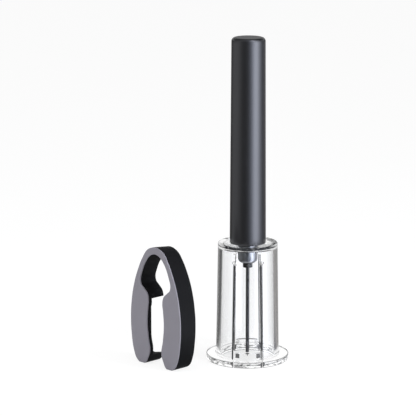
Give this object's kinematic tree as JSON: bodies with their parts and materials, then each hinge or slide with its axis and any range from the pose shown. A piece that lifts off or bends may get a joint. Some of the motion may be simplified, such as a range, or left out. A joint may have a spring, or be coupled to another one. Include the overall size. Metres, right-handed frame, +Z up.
{
  "type": "air pump wine opener",
  "caption": "Air pump bottle opener with a clear slit neck housing, a hollow needle and a sliding handle, and a bow-shaped foil cutter standing beside it.",
  "frame": {"origin": "on the surface that the set stands on, below the centre of the pair's overall box", "axes": "+Z up along the opener's axis; +X to the right seen from the front of the picture, -Y towards its viewer"},
  "size_m": [0.0972, 0.0616, 0.2],
  "materials": {
    "clear_plastic": "clear moulded plastic, polished",
    "bright_metal": "bright plated metal",
    "dark_plastic": "plain black plastic",
    "needle_dark": "steel tube with a dark low-friction coat",
    "rubber": "plain black seal rubber",
    "pump_white": "off-white moulded plastic",
    "steel": "plain steel",
    "handle_black": "black satin coat on drawn aluminium",
    "cutter_black": "black moulded plastic, satin",
    "cutter_grey": "cool grey moulded plastic, satin"
  },
  "bodies": {
    "opener": {"clear_housing": "clear_plastic", "barrel_gasket": "rubber", "pump_barrel": "pump_white", "barrel_cap": "dark_plastic", "needle_holder": "bright_metal", "needle_collar": "dark_plastic", "air_needle": "needle_dark", "holder_seal": "rubber", "valve_spring": "steel"},
    "handle": {"handle_shell": "handle_black", "handle_bush": "pump_white", "handle_plug": "pump_white", "rod_nut": "steel", "piston_rod": "steel", "piston_disc": "pump_white", "cup_seal": "rubber", "piston_nut": "steel"},
    "check_ball": {"valve_ball": "steel"},
    "foil_cutter": {"cutter_body": "cutter_black", "cutter_face": "cutter_grey", "upper_left_pin": "steel", "lower_left_pin": "steel", "upper_right_pin": "steel", "lower_right_pin": "steel"},
    "wheel_upper_left": {"upper_left_wheel": "steel"},
    "wheel_lower_left": {"lower_left_wheel": "steel"},
    "wheel_upper_right": {"upper_right_wheel": "steel"},
    "wheel_lower_right": {"lower_right_wheel": "steel"}
  },
  "joints": [
    {"name": "handle_stroke", "type": "slide", "parent": "opener", "child": "handle", "axis": [0, 0, 1], "range_m": [0, 0.095]},
    {"name": "valve_travel", "type": "slide", "parent": "opener", "child": "check_ball", "axis": [0, 0, -1], "range_m": [0, 0.001], "stiffness_N_per_m": 20, "deforming": ["valve_spring"]},
    {"name": "cutter_lift", "type": "slide", "parent": "opener", "child": "foil_cutter", "axis": [0, 0, 1], "range_m": [0, 0.12]},
    {"name": "upper_left_wheel_spin", "type": "hinge", "parent": "foil_cutter", "child": "wheel_upper_left", "pos_m": [-0.03783, -0.00014, 0.03675], "axis": [0.7133, 0.7009, 0], "continuous": true},
    {"name": "lower_left_wheel_spin", "type": "hinge", "parent": "foil_cutter", "child": "wheel_lower_left", "pos_m": [-0.03783, -0.00014, 0.01015], "axis": [0.7133, 0.7009, 0], "continuous": true},
    {"name": "upper_right_wheel_spin", "type": "hinge", "parent": "foil_cutter", "child": "wheel_upper_right", "pos_m": [-0.01834, -0.01996, 0.03675], "axis": [0.7133, 0.7009, 0], "continuous": true},
    {"name": "lower_right_wheel_spin", "type": "hinge", "parent": "foil_cutter", "child": "wheel_lower_right", "pos_m": [-0.01834, -0.01996, 0.01015], "axis": [0.7133, 0.7009, 0], "continuous": true}
  ]
}
